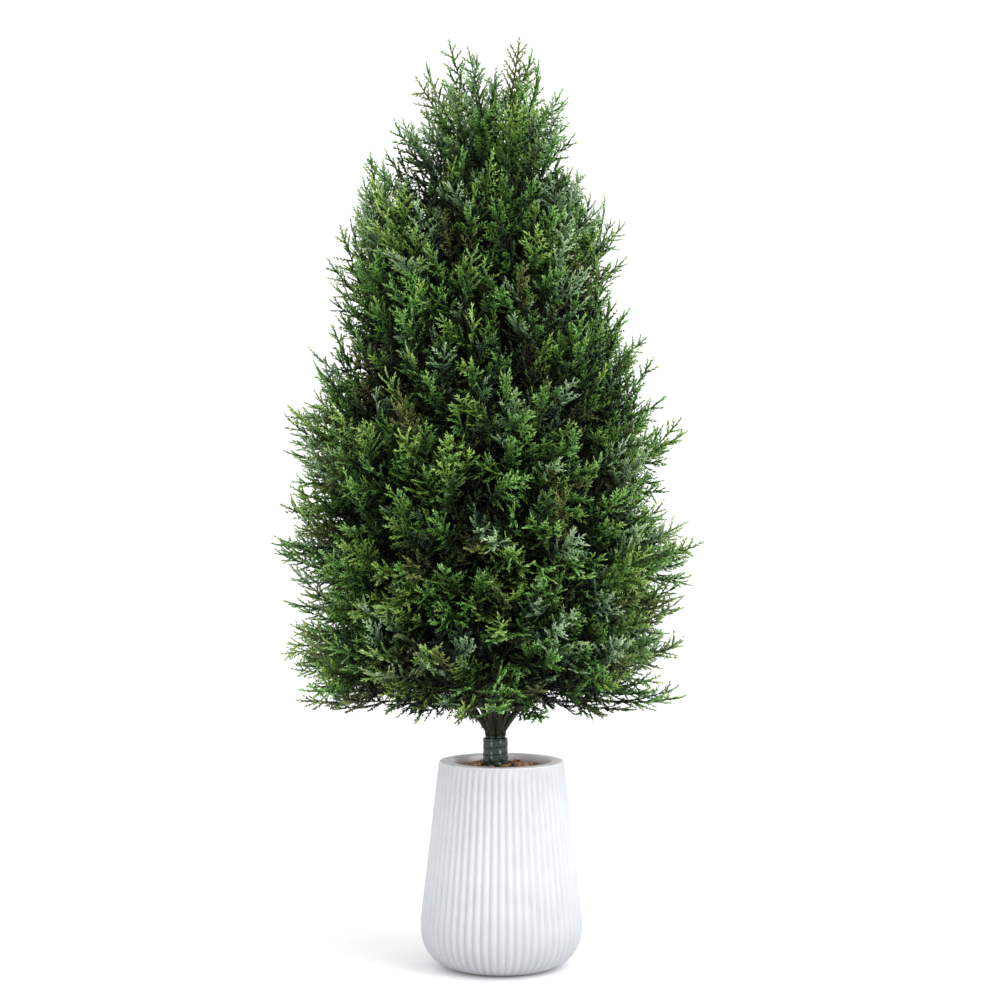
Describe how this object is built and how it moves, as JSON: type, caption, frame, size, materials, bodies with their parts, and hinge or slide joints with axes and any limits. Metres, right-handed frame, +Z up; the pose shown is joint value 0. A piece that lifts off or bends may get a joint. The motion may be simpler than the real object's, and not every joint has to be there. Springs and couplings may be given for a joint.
{
  "type": "artificial tabletop tree",
  "caption": "Slender artificial cedar tree with flat feathery sprays on bendable branches, standing in a tall ribbed white planter topped with gravel.",
  "frame": {"origin": "centre of the planter's flat base, on the surface it stands on", "axes": "+Z up along the planter's axis, -Y towards the front, +X to the right seen from the front"},
  "size_m": [0.3988, 0.4006, 0.9143],
  "materials": {
    "planter_ceramic": "matt white, fine vertical ribs",
    "weight_cement": "rough grey cement",
    "filler_foam": "dry green floral foam",
    "gravel_stone": "brown and orange river gravel, glued",
    "pole_steel": "dark painted steel tube",
    "tie_wire_steel": "annealed binding wire",
    "stem_tape": "glossy dark green stretch tape",
    "stem_wire": "steel wire in a dark brown moulded sheath",
    "foliage_dark": "moulded polyethylene, dark green",
    "foliage_green": "moulded polyethylene, mid green",
    "foliage_tips": "moulded polyethylene, yellow green"
  },
  "bodies": {
    "root": {"planter": "planter_ceramic", "cement_weight": "weight_cement", "foam_filler": "filler_foam", "gravel_bed": "gravel_stone", "trunk_pole": "pole_steel", "lower_tie_wire": "tie_wire_steel", "upper_tie_wire": "tie_wire_steel", "trunk_tape": "stem_tape", "branch_1_foot_wire": "stem_wire", "branch_2_foot_wire": "stem_wire", "branch_3_foot_wire": "stem_wire", "branch_4_foot_wire": "stem_wire", "branch_5_foot_wire": "stem_wire", "branch_6_foot_wire": "stem_wire", "branch_7_foot_wire": "stem_wire", "branch_8_foot_wire": "stem_wire", "leader_stem": "stem_wire", "leader_inner_sprays": "foliage_dark", "leader_middle_sprays": "foliage_green", "leader_top_sprays": "foliage_tips"},
    "branch_1": {"branch_1_stem": "stem_wire", "branch_1_lower_sprays": "foliage_dark", "branch_1_middle_sprays": "foliage_green", "branch_1_upper_sprays": "foliage_tips"},
    "branch_2": {"branch_2_stem": "stem_wire", "branch_2_lower_sprays": "foliage_dark", "branch_2_middle_sprays": "foliage_green", "branch_2_upper_sprays": "foliage_tips"},
    "branch_3": {"branch_3_stem": "stem_wire", "branch_3_lower_sprays": "foliage_dark", "branch_3_middle_sprays": "foliage_green", "branch_3_upper_sprays": "foliage_tips"},
    "branch_4": {"branch_4_stem": "stem_wire", "branch_4_lower_sprays": "foliage_dark", "branch_4_middle_sprays": "foliage_green", "branch_4_upper_sprays": "foliage_tips"},
    "branch_5": {"branch_5_stem": "stem_wire", "branch_5_lower_sprays": "foliage_dark", "branch_5_middle_sprays": "foliage_green", "branch_5_upper_sprays": "foliage_tips"},
    "branch_6": {"branch_6_stem": "stem_wire", "branch_6_lower_sprays": "foliage_dark", "branch_6_middle_sprays": "foliage_green", "branch_6_upper_sprays": "foliage_tips"},
    "branch_7": {"branch_7_stem": "stem_wire", "branch_7_lower_sprays": "foliage_dark", "branch_7_middle_sprays": "foliage_green", "branch_7_upper_sprays": "foliage_tips"},
    "branch_8": {"branch_8_stem": "stem_wire", "branch_8_lower_sprays": "foliage_dark", "branch_8_middle_sprays": "foliage_green", "branch_8_upper_sprays": "foliage_tips"}
  },
  "joints": [
    {"name": "branch_1_bend", "type": "hinge", "parent": "root", "child": "branch_1", "pos_m": [0.0013, 0.00302, 0.23], "axis": [-0.3827, 0.9239, 0], "range_deg": [0, 30]},
    {"name": "branch_2_bend", "type": "hinge", "parent": "root", "child": "branch_2", "pos_m": [-0.00298, 0.0073, 0.23], "axis": [-0.9239, 0.3827, 0], "range_deg": [0, 30]},
    {"name": "branch_3_bend", "type": "hinge", "parent": "root", "child": "branch_3", "pos_m": [-0.00902, 0.0073, 0.23], "axis": [-0.9239, -0.3827, 0], "range_deg": [0, 30]},
    {"name": "branch_4_bend", "type": "hinge", "parent": "root", "child": "branch_4", "pos_m": [-0.0133, 0.00302, 0.23], "axis": [-0.3827, -0.9239, 0], "range_deg": [0, 30]},
    {"name": "branch_5_bend", "type": "hinge", "parent": "root", "child": "branch_5", "pos_m": [-0.0133, -0.00302, 0.23], "axis": [0.3827, -0.9239, 0], "range_deg": [0, 30]},
    {"name": "branch_6_bend", "type": "hinge", "parent": "root", "child": "branch_6", "pos_m": [-0.00902, -0.0073, 0.23], "axis": [0.9239, -0.3827, 0], "range_deg": [0, 30]},
    {"name": "branch_7_bend", "type": "hinge", "parent": "root", "child": "branch_7", "pos_m": [-0.00298, -0.0073, 0.23], "axis": [0.9239, 0.3827, 0], "range_deg": [0, 30]},
    {"name": "branch_8_bend", "type": "hinge", "parent": "root", "child": "branch_8", "pos_m": [0.0013, -0.00302, 0.23], "axis": [0.3827, 0.9239, 0], "range_deg": [0, 30]}
  ]
}
